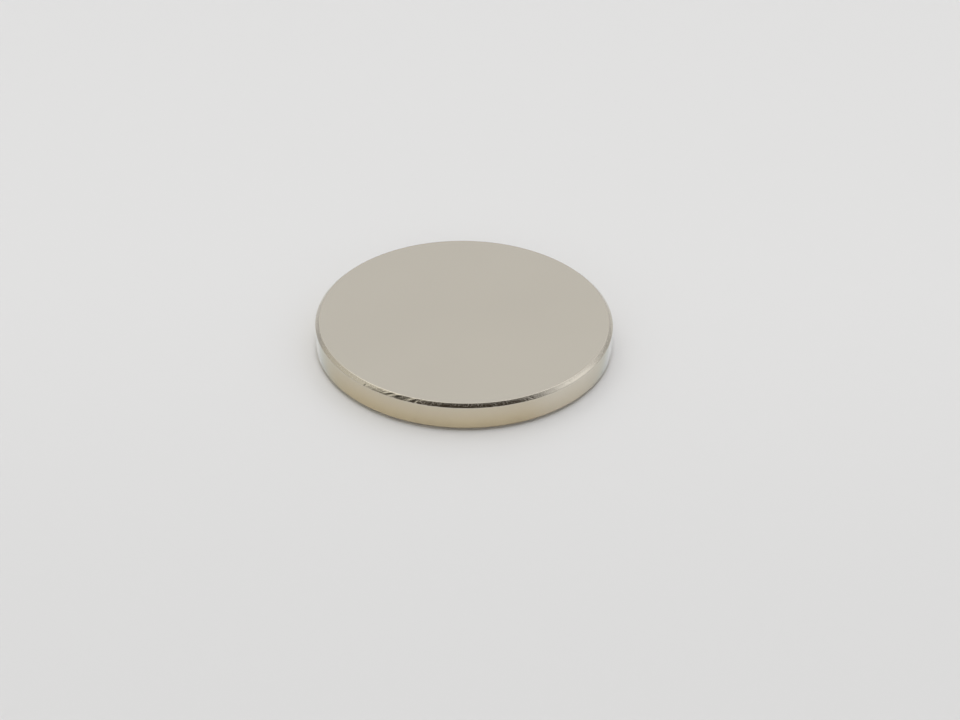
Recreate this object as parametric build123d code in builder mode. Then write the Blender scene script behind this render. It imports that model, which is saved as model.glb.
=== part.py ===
from build123d import *
import os
from math import radians, sqrt, tan

# Disc magnet: one flat disc with ground faces and a bevel round each of its two edges.
# Millimetres, +Z up. The origin is the centre of the lower face, which the disc rests on.

# Driving dimensions
disc_diameter = 50.0
disc_thickness = 5.0
# The bevel takes this much off the face and this much off the wall, which makes it 45 degrees
bevel_leg = 0.6
# Tumbling and plating leave the corners on both sides of a bevel a little round
corner_radius = 0.15

# The wall and the flat of each face, inside their bevels
disc_radius = disc_diameter / 2
face_radius = disc_radius - bevel_leg
wall_bottom = bevel_leg
wall_top = disc_thickness - bevel_leg

# Each corner turns by half a right angle. Two of them share a bevel or the wall, whichever is
# narrower, so that width limits their rounding, and a flat is left between them.
corner_turn = radians(45)
rounded_share = 0.8
narrowest_flat = min(bevel_leg * sqrt(2), wall_top - wall_bottom)
largest_radius = rounded_share * narrowest_flat / 2 / tan(corner_turn / 2)
rounding = min(corner_radius, largest_radius)

# The half section runs from the axis out along the lower face, up the wall and back
with BuildPart() as disc_magnet:
    with BuildSketch(Plane.XZ) as half_section:
        with BuildLine():
            Polyline(
                (0, 0),
                (face_radius, 0),
                (disc_radius, wall_bottom),
                (disc_radius, wall_top),
                (face_radius, disc_thickness),
                (0, disc_thickness),
                close=True,
            )
        make_face()
        rim_corners = half_section.vertices().filter_by(lambda corner: corner.X > 0)
        fillet(rim_corners, radius=rounding)
    revolve(axis=Axis.Z)
disc_magnet.part.label = "disc_magnet"

os.makedirs("parts", exist_ok=True)
export_step(disc_magnet.part, "parts/disc_magnet.step")
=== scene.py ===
"""A nickel-plated disc magnet with ground bevels, lying on a pale studio sweep.

The plated disc is one closed surface of revolution with the marks of its grinding in the mesh.
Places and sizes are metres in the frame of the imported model, +Z up. Azimuths are measured from
the side that faces the camera, positive towards +X, and elevations from the floor.
"""

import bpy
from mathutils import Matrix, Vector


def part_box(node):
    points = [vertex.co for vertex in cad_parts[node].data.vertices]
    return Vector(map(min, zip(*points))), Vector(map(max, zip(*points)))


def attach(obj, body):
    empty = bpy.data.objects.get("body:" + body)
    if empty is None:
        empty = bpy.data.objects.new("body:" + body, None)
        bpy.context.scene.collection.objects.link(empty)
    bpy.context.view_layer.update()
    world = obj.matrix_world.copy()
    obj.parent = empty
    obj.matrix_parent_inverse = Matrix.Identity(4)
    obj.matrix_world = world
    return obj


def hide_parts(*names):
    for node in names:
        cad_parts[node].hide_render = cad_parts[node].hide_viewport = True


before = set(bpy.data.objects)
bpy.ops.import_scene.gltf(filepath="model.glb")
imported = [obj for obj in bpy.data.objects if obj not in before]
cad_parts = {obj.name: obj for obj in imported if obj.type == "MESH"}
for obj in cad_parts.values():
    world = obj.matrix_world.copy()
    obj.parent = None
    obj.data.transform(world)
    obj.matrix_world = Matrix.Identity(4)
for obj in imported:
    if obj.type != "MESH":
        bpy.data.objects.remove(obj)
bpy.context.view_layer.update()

import bpy
import numpy as np
from bpy.props import FloatProperty, FloatVectorProperty, IntProperty, PointerProperty
from mathutils import Matrix, Vector

bl_info = {
    "name": "Disc Magnet",
    "version": (1, 0, 0),
    "blender": (4, 5, 0),
    "location": "3D View > Sidebar > Magnet",
    "description": "Builds a nickel-plated disc magnet on a pale studio sweep",
    "category": "Object",
}

MM = 0.001
DEGREES = 180 / np.pi
CAD_NODE = "disc_magnet"
DISC_LOW, DISC_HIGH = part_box(CAD_NODE)

# The main marks that the wheel left on the upper bevel: azimuth in degrees, lean in millimetres
# along the rim for each across it, half width in millimetres and tilt in degrees, below zero for
# a ridge
MAIN_MARKS = (
    (-28.7, 1.5, 0.38, -3), (-25.8, 1.5, 0.36, -5), (-24.0, 1.6, 0.12, 5), (-21.5, 1.6, 0.34, 4),
    (-19.4, 1.6, 0.14, -5), (-15.9, 1.7, 0.24, -5), (-14.2, 1.6, 0.10, 5), (-12.2, 1.6, 0.13, -6),
    (-8.6, 1.2, 0.07, -5), (-3.4, 1.0, 0.07, -4),
    (4.0, 0.0, 0.07, 9), (7.4, -1.0, 0.08, -4), (9.6, -1.2, 0.08, 6), (11.0, -1.2, 0.07, -6),
    (12.8, -1.4, 0.07, 8), (14.2, 1.2, 0.07, 7), (15.4, 1.2, 0.07, 8), (19.0, -1.4, 0.08, -5),
    (22.0, -1.8, 0.10, 5), (24.2, -2.0, 0.08, -4), (26.0, -2.0, 0.08, 4), (27.6, -2.0, 0.09, 4),
    (29.2, -2.0, 0.08, 4), (30.8, -2.0, 0.10, 3), (44.5, -0.6, 0.10, 6),
)
# The other marks lie at random places on both bevels. The half widths of the facets and of the
# scratches in millimetres, and how hard the wheel bit: a base all round, and the middle and half
# width in degrees and the height of each stretch where it bit harder.
FACET_WIDTHS, SCRATCH_WIDTHS = (0.14, 0.34), (0.06, 0.11)
FACET_BITE = 0.1, ((-24, 14, 0.8), (-118, 22, 0.7), (150, 26, 0.8), (84, 10, 0.2))
SCRATCH_BITE = 0.08, ((-24, 15, 0.75), (17, 13, 1.0), (-118, 24, 0.6), (146, 30, 0.6))
# Their mean lean and its spread, in millimetres along the rim for each across it
MEAN_LEAN, LEAN_SPREAD = 1.9, 0.5
LOWER_SEED, UPPER_SEED = 5, 11
# The marks fade out towards the edges of their bevel. They are centred this far below its middle
# and reach this far from there, as shares of the bevel's leg.
MARKS_DROP, MARKS_REACH = 0.08, 0.72
# Painted dark reflection in the upper bevel's front: darkness painted into the marks in place of
# the dark surroundings that they mirror. A tick is azimuth, lean, half width and darkness, and
# keeps to the half beside the wall. A stroke is the same and crosses the bevel. A line runs along
# the rim: its place across the bevel and half width in millimetres, middle and half length in
# degrees, darkness.
DARK_REFLECTION_TICKS = (
    (-39.2, 0.4, 0.12, 1.0), (-36.8, 1.6, 0.12, 0.6), (-35.6, 1.8, 0.10, 0.7),
    (-34.4, 1.6, 0.13, 0.65), (-33.2, 1.8, 0.12, 0.8), (-32.0, 1.8, 0.12, 0.7),
    (-30.8, 1.6, 0.14, 0.8),
)
DARK_REFLECTION_STROKES = (
    (-28.5, 2.4, 0.33, 1.0), (-25.0, 2.6, 0.22, 0.6), (-22.0, 2.6, 0.16, 0.55),
    (-18.0, 2.2, 0.12, 0.4),
)
DARK_REFLECTION_LINES = (
    (-0.24, 0.09, -33.6, 3.4, 0.4), (0.12, 0.09, -32.2, 1.0, 0.5),
    (0.10, 0.10, -23.5, 3.6, 0.5), (-0.22, 0.10, -22.4, 3.4, 0.8),
)
# The ticks fade out over this share of the bevel's leg
TICK_FADE = 0.5

# A point counts as bevel, or as upright wall, while its normal is within so many degrees of theirs
BEVEL_SPREAD, WALL_SPREAD = 24, 25
# Painted warm light on the wall: a warm tint in place of warm light bounced between wall and
# floor. Its weight at the lower face, and what it loses up to the upper one with that power of
# the height
PAINTED_WARMTH, PAINTED_WARMTH_LOSS, PAINTED_WARMTH_POWER = 1.1, 1.03, 2.4
# A painted highlight: the stretch of the wall that is painted paler in place of a lighter
# reflection, written as a bite, and how much of the same painted paleness the lower bevel has, in
# place of a lighter reflection of the floor beneath it
PAINTED_HIGHLIGHT_WALL = 0, ((46, 18, 0.25),)
LOWER_PAINTED_PALENESS = 0.3
# How dull the lower bevel is, as a multiple of the upper face's edge, and the share of the upper
# bevel's leg over which that edge is worn
LOWER_WEAR, EDGE_WEAR_REACH = 2, 0.6

# Scales of the plating's noises in cells per metre: soft clouds, scuffs on the bevels, the fine
# grain, and streaks that run up and down the wall. Each noise varies round its middle value.
NOISE_MIDDLE = 0.5
CLOUD_SCALE, SCUFF_SCALE, GRAIN_SCALE, STREAK_SCALE = 55.0, 3500.0, 9000.0, (700, 700, 110)
# How much the clouds and the streaks change the colour's brightness
CLOUD_TONE, STREAK_TONE = 0.06, 0.1
# How far the roughness starts below its mean, and what each of these adds where it is strongest
ROUGHNESS_DROP = 0.02
CLOUD_HAZE, GRAIN_HAZE, BEVEL_HAZE, SCUFF_HAZE, WEAR_HAZE = 0.03, 0.02, -0.03, 0.8, 0.2
# Painted sheen: how strongly the wall takes on its slanted colour, and the brightest one, as it
# turns away, in place of paler reflections there
SLANTED_SHEEN_STRENGTH, BRIGHTEST_SHEEN_STRENGTH = 4.5, 7.0
# The bump that the grain makes
GRAIN_STRENGTH, GRAIN_DEPTH = 0.05, 0.002 * MM

# Painted shade: the sweep's colour darkens towards the front between these two distances behind the
# disc's middle, in place of light falling off there
PAINTED_SHADE_FRONT, PAINTED_SHADE_BACK = -110 * MM, 40 * MM
PAPER_ROUGHNESS = 0.4
# Each window's azimuth and elevation, its half width and half height, all in degrees seen from the
# disc, how far it climbs for each degree to the right, and its radiance on top of the room's
WINDOWS = (
    (98, 32, 16, 9, -0.5, 0.46),
    (-124, 60, 34, 13, 0.0, 0.95),
    (128, 56, 20, 9, 0.0, 0.9),
    (180, 33, 50, 16, 0.0, 0.055),
    (0, 16, 60, 14, 0.0, 0.5),
)
# The elevations between which the room gains its upper light
UPPER_LIGHT_RISE = (5, 38)
# The dark card follows the mirror image of the front bevel: its ends fade between two azimuths
# each, its long edges fade between two heights off its middle line. That line drops towards its
# ends, by CARD_DROP degrees at CARD_HALF_WIDTH degrees from the front.
CARD_LEFT, CARD_RIGHT = (-73, -38), (80, 53)
CARD_MIDDLE, CARD_EDGE = 55, (24, 18)
CARD_DROP, CARD_HALF_WIDTH = 15, 65
# The azimuths between which the room takes on the warm tint of its left side, and loses it again
WARM_START, WARM_END = (-30, -60), (-155, -120)
# The camera's sensor in millimetres, and the nearest and farthest that it sees in metres
SENSOR_WIDTH = 36
CAMERA_CLIP = 0.01, 5

# Sockets of the Mix node for colours, which have no names of their own
MIX_FACTOR, MIX_FIRST, MIX_SECOND, MIX_RESULT = 0, 6, 7, 2
WHITE = (1, 1, 1, 1)


class MagnetBody(bpy.types.PropertyGroup):
    """Sizes of the disc and of the marks on its bevels."""

    diameter: FloatProperty(
        name="Diameter", description="Across the wall", default=DISC_HIGH.x - DISC_LOW.x,
        unit="LENGTH",
    )
    thickness: FloatProperty(
        name="Thickness", description="Face to face", default=DISC_HIGH.z - DISC_LOW.z,
        unit="LENGTH",
    )
    bevel_leg: FloatProperty(
        name="Bevel", description="What each bevel takes off face and wall", default=0.6 * MM,
        unit="LENGTH",
    )
    corner_radius: FloatProperty(
        name="Corner Radius", description="Rounding beside each bevel", default=0.15 * MM,
        unit="LENGTH",
    )
    facet_count: IntProperty(
        name="Facets", description="Short facets that the wheel left round each bevel",
        default=330, min=0,
    )
    facet_tilt: FloatProperty(
        name="Facet Tilt", description="How far the steepest facets lean along the rim",
        default=np.radians(4.0), subtype="ANGLE",
    )
    scratch_count: IntProperty(
        name="Scratches", description="Fine scratches round each bevel", default=1300, min=0
    )
    scratch_tilt: FloatProperty(
        name="Scratch Tilt",
        description="How far the sides of the deepest scratches lean along the rim",
        default=np.radians(7.0), subtype="ANGLE",
    )


class NickelFinish(bpy.types.PropertyGroup):
    """Colours and sheen of the plating."""

    face_color: FloatVectorProperty(
        name="Face", description="Nickel on the ground faces and bevels", subtype="COLOR",
        default=(0.655, 0.612, 0.53), min=0.0, max=1.0,
    )
    # Painted warm light: the wall's warm colour stands in for warm light bounced between wall and
    # floor
    warm_lit_wall_color: FloatVectorProperty(
        name="Wall", description="Warmer nickel on the tumbled wall", subtype="COLOR",
        default=(0.662, 0.561, 0.381), min=0.0, max=1.0,
    )
    # Painted sheen: the colour the wall is painted as it turns away, in place of paler reflections
    # there
    slanted_sheen_color: FloatVectorProperty(
        name="Slanted Wall", description="The wall's nickel where it starts to turn away",
        subtype="COLOR", default=(0.57, 0.6, 0.53), min=0.0, max=1.0,
    )
    # Painted highlight and sheen: the colour painted on the wall at the flattest slant and on the
    # pale stretches, in place of bright reflections
    brightest_sheen_color: FloatVectorProperty(
        name="Brightest", description="Nickel that is polished, or seen at the flattest slant",
        subtype="COLOR", default=(0.88, 0.89, 0.89), min=0.0, max=1.0,
    )
    # Painted dark reflection: the colour painted into the front bevel's marks in place of the dark
    # surroundings they mirror
    dark_reflection_color: FloatVectorProperty(
        name="Dirt", description="Dark dirt in the deepest marks of the front bevel",
        subtype="COLOR", default=(0.06, 0.052, 0.034), min=0.0, max=1.0,
    )
    roughness: FloatProperty(
        name="Roughness", description="Mean roughness of the plating", subtype="FACTOR",
        default=0.2, min=0.0, max=1.0,
    )


class Studio(bpy.types.PropertyGroup):
    """Stage, light and camera."""

    floor_color: FloatVectorProperty(
        name="Floor", description="Colour of the sweep from the disc backwards", subtype="COLOR",
        default=(0.696, 0.698, 0.709), min=0.0, max=1.0,
    )
    # Painted shade: the darker colour the sweep takes in front of the disc, in place of lighting
    # that falls off there
    shaded_front_floor_color: FloatVectorProperty(
        name="Front Floor", description="Colour that the sweep fades to in front of the disc",
        subtype="COLOR", default=(0.645, 0.647, 0.657), min=0.0, max=1.0,
    )
    lamp_light: FloatProperty(
        name="Overhead Lamp",
        description="Light that the lamp overhead gives the floor, as a share of white",
        default=0.333,
    )
    lamp_width: FloatProperty(
        name="Lamp Width", description="How wide the lamp overhead is, seen from the disc",
        default=np.radians(20.0), subtype="ANGLE",
    )
    lamp_lean: FloatProperty(
        name="Lamp Lean", description="Turn of the lamp about X, below zero for behind the disc",
        default=np.radians(-3.0), subtype="ANGLE",
    )
    horizon_light: FloatProperty(
        name="Horizon Light", description="Brightness of the room at eye level", default=0.565
    )
    upper_light: FloatProperty(
        name="Upper Light", description="What the room gains from eye level to its upper half",
        default=0.115,
    )
    overhead_light: FloatProperty(
        name="Overhead Light", description="What the room gains evenly up to the zenith",
        default=0.1,
    )
    zenith_light: FloatProperty(
        name="Zenith Light", description="What it gains on top of that, near the zenith",
        default=0.6,
    )
    warm_tint: FloatVectorProperty(
        name="Warm Tint", description="Tint of the light from the left side", subtype="COLOR",
        default=(1.0, 0.972, 0.88), min=0.0, max=1.0,
    )
    card_color: FloatVectorProperty(
        name="Dark Card", description="Dark card in front, which the front bevel mirrors",
        subtype="COLOR", default=(0.042, 0.031, 0.022), min=0.0, max=1.0,
    )
    camera_distance: FloatProperty(
        name="Camera Distance", description="From the point aimed at", default=375.7 * MM,
        unit="LENGTH",
    )
    camera_elevation: FloatProperty(
        name="Camera Elevation", description="Above the floor", default=np.radians(35.0),
        subtype="ANGLE",
    )
    camera_roll: FloatProperty(
        name="Camera Roll", description="Turn of the camera about its own axis",
        default=np.radians(0.95), subtype="ANGLE",
    )
    camera_lens: FloatProperty(
        name="Lens", description="Focal length in millimetres", default=84.15, unit="CAMERA"
    )
    camera_aim: FloatVectorProperty(
        name="Aim", description="Point on the floor that the camera looks at",
        subtype="TRANSLATION", default=(2.765 * MM, -5.18 * MM, 0.0),
    )


class Signal:
    """A shader value that can be written into sums and products, as in 1 - mask * 0.5."""

    def __init__(self, nodes, socket):
        self.nodes = nodes
        self.socket = socket

    def __add__(self, other):
        return self.nodes.math("ADD", self, other)

    __radd__ = __add__

    def __sub__(self, other):
        return self.nodes.math("SUBTRACT", self, other)

    def __rsub__(self, other):
        return self.nodes.math("SUBTRACT", other, self)

    def __mul__(self, other):
        return self.nodes.math("MULTIPLY", self, other)

    __rmul__ = __mul__


class NodeTree:
    """Builds the nodes of one material or world."""

    def __init__(self, owner):
        owner.use_nodes = True
        self.tree = owner.node_tree
        self.tree.nodes.clear()

    def node(self, kind, settings=None, sockets=None):
        """A node of that kind, its settings made first, then the values or links of its sockets."""
        node = self.tree.nodes.new(kind)
        for name, value in (settings or {}).items():
            setattr(node, name, value)
        for name, value in (sockets or {}).items():
            self.feed(node.inputs[name], value)
        return node

    def feed(self, socket, value):
        if isinstance(value, Signal):
            self.tree.links.new(value.socket, socket)
        else:
            socket.default_value = value

    def signal(self, kind, output, settings=None, sockets=None):
        return Signal(self, self.node(kind, settings, sockets).outputs[output])

    def math(self, operation, *terms):
        return self.signal("ShaderNodeMath", "Value", {"operation": operation},
                           dict(enumerate(terms)))

    def mix(self, factor, first, second, blend="MIX"):
        """The colour that lies between the first and the second by that factor."""
        return self.signal("ShaderNodeMix", MIX_RESULT, {"data_type": "RGBA", "blend_type": blend},
                           {MIX_FACTOR: factor, MIX_FIRST: first, MIX_SECOND: second})

    def fade(self, value, start, end):
        """A smooth step, 0 at start and 1 at end, which may lie either way round."""
        return self.signal("ShaderNodeMapRange", "Result", {"interpolation_type": "SMOOTHSTEP"},
                           {"Value": value, "From Min": start, "From Max": end})


def rim_section(body, corner_steps=3, bevel_rows=8, wall_rows=1):
    """The rim's half section as points (out, up), and the angle of the outward normal at each.

    It is the polygon lower face, bevel, wall, bevel, upper face with its corners rounded. Round a
    corner whose edges have normals at angles a and b, the arc's centre lies inwards from the corner
    by radius / cos((b - a) / 2) along the middle normal, and a point of the arc is the centre plus
    the radius times (cos n, sin n), for n from a to b. Straight rows fill in between the arcs.
    """
    outside, top, leg = body.diameter / 2, body.thickness, body.bevel_leg
    corners = np.array([
        [outside - leg, 0], [outside, leg], [outside, top - leg], [outside - leg, top]])
    normals = np.radians([-90, -45, 0, 45, 90])
    turn = np.diff(normals)
    middle = normals[:-1] + turn / 2
    inwards = body.corner_radius / np.cos(turn / 2)
    centres = corners - inwards[:, None] * np.stack([np.cos(middle), np.sin(middle)], 1)
    swept = normals[:-1, None] + turn[:, None] * np.linspace(0, 1, corner_steps + 1)
    arcs = centres[:, None] + body.corner_radius * np.stack([np.cos(swept), np.sin(swept)], -1)
    points, angles = [arcs[0]], [swept[0]]
    straight_rows = (bevel_rows, wall_rows, bevel_rows)
    for rows, arc, sweep, before in zip(straight_rows, arcs[1:], swept[1:], arcs):
        share = np.linspace(0, 1, rows + 1)[1:-1, None]
        points += [before[-1] + share * (arc[0] - before[-1]), arc]
        angles += [np.full(rows - 1, sweep[0]), sweep]
    return np.concatenate(points), np.concatenate(angles)


def around_rim(azimuth, base, stretches):
    """A strength for each azimuth: the base, plus a bell curve for each stretch.

    The curve is height * exp(-(turn from the stretch's middle / its half width)^4), in degrees.
    """
    middle, half_width, height = np.array(stretches).T[:, :, None]
    away = (azimuth - middle + 180) % 360 - 180
    return base + (height * np.exp(-((away / half_width) ** 4))).sum(0)


def slanted_marks(azimuth, across, radius, marks):
    """The sum of a set of slanted marks, at each azimuth and place across the bevel.

    Mark k follows the line azimuth + lean * across, as a length round the rim, and at the distance
    x from that line it is height * exp(-(x / half width)^2).
    """
    middle, lean, half_width, height = np.array(marks).T
    turn = (azimuth[:, None] - np.radians(middle) + np.pi) % (2 * np.pi) - np.pi
    away = turn * radius - lean * across[:, None, None]
    return (height * np.exp(-((away / (half_width * MM)) ** 2))).sum(-1)


def random_marks(rng, count, widths, tilt, bite):
    """A family of marks spread evenly round the rim, each with the bite of its azimuth.

    They lean one way in two quarters of the rim and the other way between: by -sin(2 * azimuth).
    """
    middle = rng.uniform(-180, 180, count)
    lean = rng.normal(MEAN_LEAN, LEAN_SPREAD, count) * -np.sin(np.radians(2 * middle))
    half_width = rng.uniform(*widths, count)
    tilts = np.degrees(tilt) * rng.uniform(-1.0, 1.0, count) * around_rim(middle, *bite)
    return np.stack([middle, lean, half_width, tilts], -1)


def wheel_marks(azimuth, across, body, seed, main_marks):
    """Depth in metres of the facets, fine scratches and main marks of one bevel.

    A mark's sides are steepest at half width / sqrt(2) from its line, where they lean by its tilt,
    so it is tan(tilt) * half width * sqrt(e / 2) deep.
    """
    rng = np.random.default_rng(seed)
    facets = random_marks(rng, body.facet_count, FACET_WIDTHS, body.facet_tilt, FACET_BITE)
    scratches = random_marks(
        rng, body.scratch_count, SCRATCH_WIDTHS, body.scratch_tilt, SCRATCH_BITE)
    marks = np.concatenate([facets, scratches, np.reshape(main_marks, (-1, 4))])
    marks[:, 3] = np.tan(np.radians(marks[:, 3])) * marks[:, 2] * MM * np.sqrt(np.e / 2)
    return slanted_marks(azimuth, across, body.diameter / 2, marks)


def bevel_dark_reflection(azimuth, across, body):
    """How dark the painted dark reflection is at each azimuth and place across the upper bevel.

    The ticks have a weight that falls evenly from 1 to 0 round the bevel's middle, upwards. A line
    is exp(-(its distance across / its half width)^2) times a stretch of azimuth.
    """
    low = np.clip(0.5 - across / (TICK_FADE * body.bevel_leg), 0, 1)[:, None]
    dark_reflection = low * slanted_marks(azimuth, across, body.diameter / 2, DARK_REFLECTION_TICKS)
    dark_reflection += slanted_marks(azimuth, across, body.diameter / 2, DARK_REFLECTION_STROKES)
    for place, half_width, *stretch in DARK_REFLECTION_LINES:
        line = np.exp(-(((across - place * MM) / (half_width * MM)) ** 2))
        dark_reflection += line[:, None] * around_rim(np.degrees(azimuth), 0, (stretch,))
    return np.clip(dark_reflection, 0, 1)


def marked_bevels(section, normal, flatness, azimuth, body):
    """The depth of the marks in metres and the darkness of the painted dark reflection, for each
    point of the rim.

    Both fade out towards the bevel's edges, as 1 - (distance from the marks' centre / reach)^4.
    """
    depth = np.zeros((len(section), len(azimuth)))
    dark_reflection = np.zeros_like(depth)
    for side, seed, main_marks in ((-1, LOWER_SEED, ()), (1, UPPER_SEED, MAIN_MARKS)):
        rows = np.flatnonzero((np.sign(normal) == side) & (flatness > 0))
        upwards = np.array([-side, 1]) / np.sqrt(2)
        across = (section[rows] - section[rows].mean(0)) @ upwards
        off_centre = np.abs(across + MARKS_DROP * body.bevel_leg)
        fade = np.clip(1 - (off_centre / (MARKS_REACH * body.bevel_leg)) ** 4, 0, 1)[:, None]
        depth[rows] = fade * wheel_marks(azimuth, across, body, seed, main_marks)
        if side > 0:
            # Painted dark reflection in the upper bevel's marks
            dark_reflection[rows] = fade * bevel_dark_reflection(azimuth, across, body)
    return depth, dark_reflection


def turned_rings(out, up, azimuth):
    """Points and quads of the rings round Z that the rows of out and up draw.

    At azimuth a, a row's point stands at (out * sin a, -out * cos a, up).
    """
    points = np.stack([out * np.sin(azimuth), -out * np.cos(azimuth), up], -1)
    rows, columns = out.shape
    row, column = np.meshgrid(np.arange(rows - 1), np.arange(columns), indexing="ij")
    after = (column + 1) % columns
    quads = np.stack([row * columns + column, row * columns + after,
                      (row + 1) * columns + after, (row + 1) * columns + column], -1)
    return points.reshape(-1, 3), quads.reshape(-1, 4)


def plating_weights(section, normal, flatness, azimuth, dark_reflection, body):
    """The weights that the plating is drawn by, for each point of the rim.

    bevel is 1 on both bevels, and falls to 0 over their rounded edges.
    worn is how dull the nickel is: the lower bevel, and the edge of the upper face.
    wall is how warm it is: painted warm light on the wall, most at its foot, and on what lies below
    it.
    upright is 1 on the wall, and falls to 0 over its rounded edges.
    pale is the painted highlight: one stretch of the wall, and a little of the lower bevel, painted
    paler in place of lighter reflections.
    And the painted dark reflection: how dark it is on the upper bevel.
    """
    slope = np.abs(np.degrees(normal))
    height = section[:, 1] / body.thickness
    lower_half = height < 0.5
    upright = np.clip(1 - slope / WALL_SPREAD, 0, 1)
    painted_warmth = np.where(lower_half, np.clip(2 - slope / 45, 0, 1), upright)
    lower_bevel = np.where(lower_half, flatness, 0)
    from_face = section[:, 0] - body.diameter / 2 + body.bevel_leg
    near_face = np.clip(1 - from_face / (EDGE_WEAR_REACH * body.bevel_leg), 0, 1)
    face_edge = np.where(lower_half, 0, near_face * np.cos(normal))
    # Painted highlight: one stretch of the wall, and a little of the lower bevel, are painted paler
    # in place of lighter reflections
    painted_highlight = np.outer(upright, around_rim(np.degrees(azimuth), *PAINTED_HIGHLIGHT_WALL))
    weights = {
        "bevel": flatness[:, None],
        "worn": (LOWER_WEAR * lower_bevel + face_edge)[:, None],
        "wall": (painted_warmth * (PAINTED_WARMTH - PAINTED_WARMTH_LOSS * height ** PAINTED_WARMTH_POWER))[:, None],
        "upright": upright[:, None],
        "pale": painted_highlight + LOWER_PAINTED_PALENESS * lower_bevel[:, None],
        "dark_reflection": dark_reflection,
    }
    return {name: np.broadcast_to(values, dark_reflection.shape) for name, values in weights.items()}


def disc_surface(body, columns=3050, inner_ring=0.997):
    """The plated disc as points, faces and the weights of its points.

    On the bevels the section is sunk along its normal by the depth of the marks there. Each face
    is a narrow flat ring, and triangles from that to one point on the axis. The rings' inner
    points and those two have no weights.
    """
    section, normal = rim_section(body)
    azimuth = np.linspace(0, 2 * np.pi, columns, endpoint=False)
    off_bevel = np.abs(np.abs(np.degrees(normal)) - 45)
    flatness = np.clip(1 - (off_bevel / BEVEL_SPREAD) ** 2, 0, 1)
    depth, dark_reflection = marked_bevels(section, normal, flatness, azimuth, body)
    out = section[:, :1] - depth * np.cos(normal)[:, None]
    up = section[:, 1:] - depth * np.sin(normal)[:, None]
    out = np.concatenate([inner_ring * out[:1], out, inner_ring * out[-1:]])
    up = np.concatenate([np.zeros((1, columns)), up, np.full((1, columns), body.thickness)])
    points, quads = turned_rings(out, up, azimuth)
    lower_pole = len(points)
    lower_ring, upper_ring = np.arange(columns), np.arange(lower_pole - columns, lower_pole)
    lower_fan = np.stack(
        [np.roll(lower_ring, -1), lower_ring, np.full(columns, lower_pole)], -1)
    upper_fan = np.stack(
        [upper_ring, np.roll(upper_ring, -1), np.full(columns, lower_pole + 1)], -1)
    points = np.concatenate([points, [[0, 0, 0], [0, 0, body.thickness]]])
    faces = quads.tolist() + lower_fan.tolist() + upper_fan.tolist()
    weights = plating_weights(section, normal, flatness, azimuth, dark_reflection, body)
    weights = {name: np.append(np.pad(grid, ((1, 1), (0, 0))), [0, 0])
               for name, grid in weights.items()}
    return points, faces, weights


def surface_object(name, points, faces, weights=None):
    """A smooth mesh object at the origin, with each weight as a point attribute."""
    mesh = bpy.data.meshes.new(name)
    mesh.from_pydata(points, [], faces)
    mesh.shade_smooth()
    for label, values in (weights or {}).items():
        attribute = mesh.attributes.new(label, "FLOAT", "POINT")
        attribute.data.foreach_set("value", values.astype(np.float32))
    surface = bpy.data.objects.new(name, mesh)
    bpy.context.scene.collection.objects.link(surface)
    return surface


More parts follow.
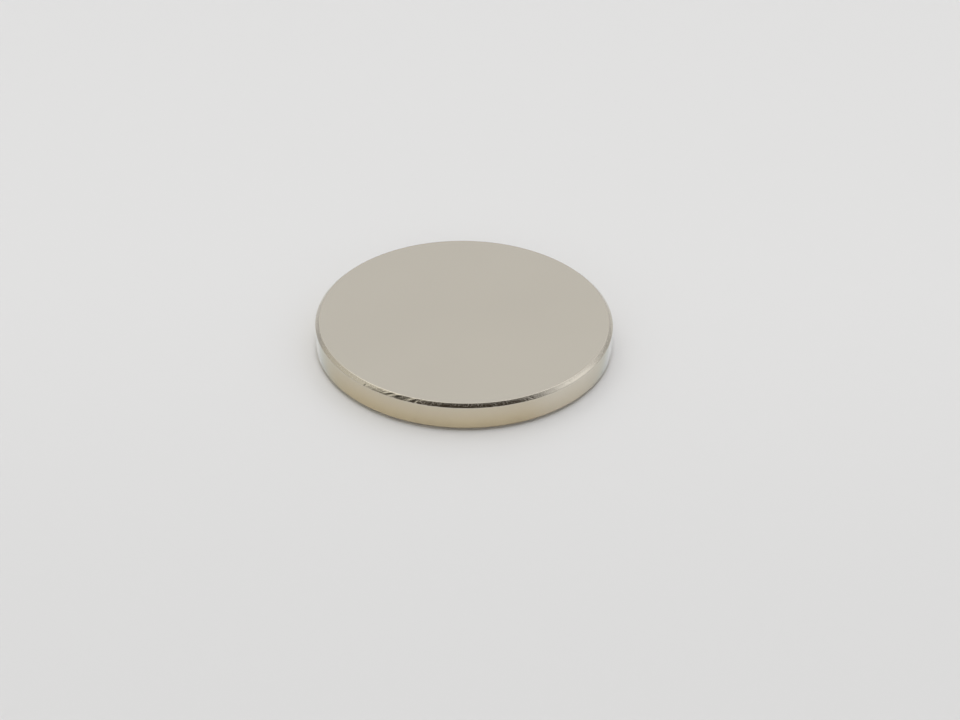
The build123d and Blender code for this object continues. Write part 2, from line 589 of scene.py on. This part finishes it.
def nickel_plating(finish):
    """Bright nickel over a ground and tumbled surface, drawn by the weights of the disc's points.

    It is warmer on the wall, a painted warm light strongest at its foot; takes on two brighter
    colours as the wall turns away from the eye, a painted sheen, and the brighter one also on a
    painted highlight; and is painted dark in the marks of the front bevel, a painted dark
    reflection. The turn is the sixth power of the Layer Weight's facing value for the first of
    those colours, and the twelfth for the second. Clouds, scuffs, grain and wear change the
    roughness.
    """
    material = bpy.data.materials.new("nickel_plating")
    nodes = NodeTree(material)
    place = nodes.signal("ShaderNodeTexCoord", "Object")
    bevel, worn, wall, upright, pale, dark_reflection = (
        nodes.signal("ShaderNodeAttribute", "Fac", {"attribute_name": name})
        for name in ("bevel", "worn", "wall", "upright", "pale", "dark_reflection"))

    def noise(scale, detail=2.0, vector=place):
        return nodes.signal("ShaderNodeTexNoise", "Fac", {"noise_dimensions": "3D"},
                            {"Vector": vector, "Scale": scale, "Detail": detail})

    clouds = noise(CLOUD_SCALE, detail=3.0)
    grain = noise(GRAIN_SCALE)
    stretched = nodes.signal("ShaderNodeVectorMath", "Vector", {"operation": "MULTIPLY"},
                             {0: place, 1: STREAK_SCALE})
    streaks = noise(1.0, vector=stretched)
    facing = nodes.signal("ShaderNodeLayerWeight", "Facing", None, {"Blend": 0.5})
    facing_squared = facing * facing
    turned = facing_squared * facing_squared * facing_squared
    # Painted sheen: the wall is painted greyer and brighter as it turns away, in place of paler
    # reflections
    slanted_sheen = upright * turned * SLANTED_SHEEN_STRENGTH
    brightest_sheen = upright * turned * turned * BRIGHTEST_SHEEN_STRENGTH + pale
    # Painted warm light: the wall and the lower bevel take a warm colour in place of warm bounced
    # light
    color = nodes.mix(wall, (*finish.face_color, 1), (*finish.warm_lit_wall_color, 1))
    color = nodes.mix(slanted_sheen, color, (*finish.slanted_sheen_color, 1))
    color = nodes.mix(brightest_sheen, color, (*finish.brightest_sheen_color, 1))
    tone = (1 - CLOUD_TONE * NOISE_MIDDLE + clouds * CLOUD_TONE
            + wall * (streaks - NOISE_MIDDLE) * STREAK_TONE)
    shade = nodes.signal("ShaderNodeCombineColor", "Color", None,
                         {"Red": tone, "Green": tone, "Blue": tone})
    color = nodes.mix(1.0, color, shade, "MULTIPLY")
    # Painted dark reflection: the front bevel's marks are painted dark in place of the dark
    # surroundings they mirror
    color = nodes.mix(dark_reflection, color, (*finish.dark_reflection_color, 1))
    scuffs = bevel * nodes.math("MAXIMUM", noise(SCUFF_SCALE, detail=3.0) - NOISE_MIDDLE, 0.0)
    roughness = (finish.roughness - ROUGHNESS_DROP + clouds * CLOUD_HAZE + grain * GRAIN_HAZE
                 + bevel * BEVEL_HAZE + scuffs * SCUFF_HAZE + worn * WEAR_HAZE)
    bump = nodes.signal("ShaderNodeBump", "Normal", None,
                        {"Strength": GRAIN_STRENGTH, "Distance": GRAIN_DEPTH, "Height": grain})
    surface = nodes.signal(
        "ShaderNodeBsdfPrincipled", "BSDF", None,
        {"Base Color": color, "Metallic": 1.0, "Roughness": roughness, "Normal": bump},
    )
    nodes.node("ShaderNodeOutputMaterial", None, {"Surface": surface})
    return material


def sweep_material(studio):
    """Matt paper with painted shade: a little darker towards the front of the stage, in place of
    light falling off there.
    """
    material = bpy.data.materials.new("pale_sweep")
    nodes = NodeTree(material)
    place = nodes.signal("ShaderNodeTexCoord", "Object")
    depth = nodes.signal("ShaderNodeSeparateXYZ", "Y", None, {"Vector": place})
    # Painted shade: the sweep darkens towards the front
    color = nodes.mix(nodes.fade(depth, PAINTED_SHADE_FRONT, PAINTED_SHADE_BACK),
                      (*studio.shaded_front_floor_color, 1), (*studio.floor_color, 1))
    surface = nodes.signal("ShaderNodeBsdfPrincipled", "BSDF", None,
                           {"Base Color": color, "Roughness": PAPER_ROUGHNESS})
    nodes.node("ShaderNodeOutputMaterial", None, {"Surface": surface})
    return material


def sweep_surface(flat=0.6, middle=0.18, cove=0.1, height=0.16, columns=96, cove_rows=16):
    """The floor and the wall round it, as a profile turned about Z.

    The profile starts at the edge of one round face in the middle, runs flat to the cove, through
    a quarter circle (flat + cove * sin t, cove * (1 - cos t)), and straight up to the wall's top.
    """
    t = np.linspace(0, np.pi / 2, cove_rows)
    out = np.concatenate([[middle], flat + cove * np.sin(t), [flat + cove]])
    up = np.concatenate([[0], cove * (1 - np.cos(t)), [height]])
    azimuth = np.linspace(0, 2 * np.pi, columns, endpoint=False)
    out, up = (np.repeat(values[:, None], columns, 1) for values in (out, up))
    points, quads = turned_rings(out, up, azimuth)
    # The quads are turned over, because this surface is seen from its inner side
    return points, quads[:, [0, 3, 2, 1]].tolist() + [list(range(columns))]


class BuildMagnet(bpy.types.Operator):
    """Builds the plated disc in place of the plain solid"""

    bl_idname = "magnet.build_disc"
    bl_label = "Build Plated Disc"

    def execute(self, context):
        points, faces, weights = disc_surface(context.scene.magnet_body)
        disc = surface_object("plated_disc", points, faces, weights)
        disc.data.materials.append(nickel_plating(context.scene.magnet_finish))
        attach(disc, "root")
        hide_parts(CAD_NODE)
        return {"FINISHED"}


class BuildStage(bpy.types.Operator):
    """Builds the floor and the light, with the dark card that draws the front bevel"""

    bl_idname = "magnet.build_stage"
    bl_label = "Build Stage"

    def execute(self, context):
        studio = context.scene.magnet_studio
        sweep = surface_object("sweep", *sweep_surface())
        sweep.data.materials.append(sweep_material(studio))
        self.light_room(context.scene, studio)
        self.hang_lamp(context.scene, studio)
        context.scene.view_settings.view_transform = "Standard"
        return {"FINISHED"}

    def light_room(self, scene, studio):
        """A room lit from above, with soft windows at its sides and a dark card in front.

        At elevation e its brightness is horizon + upper * a smooth step of e + overhead * sin(e)^2
        + zenith * sin(e)^10. A window adds radiance * exp(-(u^4 + v^4)), with u and v the degrees
        from its middle over its half width and half height. The card's middle line is at the
        elevation middle - drop * (azimuth / half width)^2.
        """
        world = bpy.data.worlds.new("room")
        scene.world = world
        nodes = NodeTree(world)
        direction = nodes.signal("ShaderNodeTexCoord", "Generated")
        x, y, height = (nodes.signal("ShaderNodeSeparateXYZ", axis, None, {"Vector": direction})
                        for axis in "XYZ")
        azimuth = nodes.math("ARCTAN2", x, y * -1.0) * DEGREES
        elevation = nodes.math("ARCSINE", height) * DEGREES

        squared = height * height
        tenth_power = squared * squared * (squared * squared) * squared
        upper_half = nodes.fade(elevation, *UPPER_LIGHT_RISE)
        light = (studio.horizon_light + upper_half * studio.upper_light
                 + squared * studio.overhead_light + tenth_power * studio.zenith_light)
        for middle, rise, half_width, half_height, climb, radiance in WINDOWS:
            turn = nodes.math("WRAP", azimuth - middle, 180.0, -180.0)
            u = turn * (1 / half_width)
            v = (elevation - rise - turn * climb) * (1 / half_height)
            far = u * u * u * u + v * v * v * v
            light = light + nodes.math("EXPONENT", far * -1.0) * radiance

        from_front = azimuth * (1 / CARD_HALF_WIDTH)
        off_line = elevation - CARD_MIDDLE + from_front * from_front * CARD_DROP
        card = (nodes.fade(azimuth, *CARD_LEFT) * nodes.fade(azimuth, *CARD_RIGHT)
                * nodes.fade(nodes.math("ABSOLUTE", off_line), *CARD_EDGE))
        warm_side = nodes.fade(azimuth, *WARM_START) * nodes.fade(azimuth, *WARM_END)
        tint = nodes.mix(warm_side, WHITE, (*studio.warm_tint, 1))
        color = nodes.mix(1.0, tint, light, "MULTIPLY")
        color = nodes.mix(card, color, (*studio.card_color, 1))
        background = nodes.signal("ShaderNodeBackground", "Background", None, {"Color": color})
        nodes.node("ShaderNodeOutputWorld", None, {"Surface": background})

    def hang_lamp(self, scene, studio):
        """A broad soft lamp overhead, a little behind the disc, which the nickel doesn't mirror."""
        data = bpy.data.lights.new("overhead_lamp", "SUN")
        data.energy = studio.lamp_light * np.pi
        data.angle = studio.lamp_width
        lamp = bpy.data.objects.new("overhead_lamp", data)
        lamp.rotation_euler = (studio.lamp_lean, 0, 0)
        lamp.visible_glossy = False
        scene.collection.objects.link(lamp)


class PlaceCamera(bpy.types.Operator):
    """Places the camera at the photograph's viewing angle"""

    bl_idname = "magnet.place_camera"
    bl_label = "Place Camera"

    def execute(self, context):
        studio = context.scene.magnet_studio
        elevation, roll = studio.camera_elevation, studio.camera_roll
        forward = Vector((0, np.cos(elevation), -np.sin(elevation)))
        level, rising = Vector((1, 0, 0)), Vector((0, np.sin(elevation), np.cos(elevation)))
        right = np.cos(roll) * level + np.sin(roll) * rising
        up = np.cos(roll) * rising - np.sin(roll) * level
        data = bpy.data.cameras.new("camera")
        data.lens = studio.camera_lens
        data.sensor_width = SENSOR_WIDTH
        data.clip_start, data.clip_end = CAMERA_CLIP
        camera = bpy.data.objects.new("camera", data)
        turn = Matrix((right, up, -forward)).transposed().to_4x4()
        place = Vector(studio.camera_aim) - forward * studio.camera_distance
        camera.matrix_world = Matrix.Translation(place) @ turn
        context.scene.collection.objects.link(camera)
        context.scene.camera = camera
        return {"FINISHED"}


class MagnetPanel(bpy.types.Panel):
    """Lists the sizes, finishes and steps"""

    bl_idname = "VIEW3D_PT_magnet"
    bl_label = "Disc Magnet"
    bl_space_type = "VIEW_3D"
    bl_region_type = "UI"
    bl_category = "Magnet"

    def draw(self, context):
        for label in GROUPS:
            group = getattr(context.scene, label)
            for name in group.__annotations__:
                self.layout.prop(group, name)
        for step in (BuildMagnet, BuildStage, PlaceCamera):
            self.layout.operator(step.bl_idname)


CLASSES = (MagnetBody, NickelFinish, Studio, BuildMagnet, BuildStage, PlaceCamera, MagnetPanel)
GROUPS = {"magnet_body": MagnetBody, "magnet_finish": NickelFinish, "magnet_studio": Studio}


def register():
    for item in CLASSES:
        bpy.utils.register_class(item)
    for name, group in GROUPS.items():
        setattr(bpy.types.Scene, name, PointerProperty(type=group))


def unregister():
    for name in GROUPS:
        delattr(bpy.types.Scene, name)
    for item in reversed(CLASSES):
        bpy.utils.unregister_class(item)


def main():
    register()
    bpy.ops.magnet.build_disc()
    bpy.ops.magnet.build_stage()
    bpy.ops.magnet.place_camera()


if __name__ == "__main__":
    main()
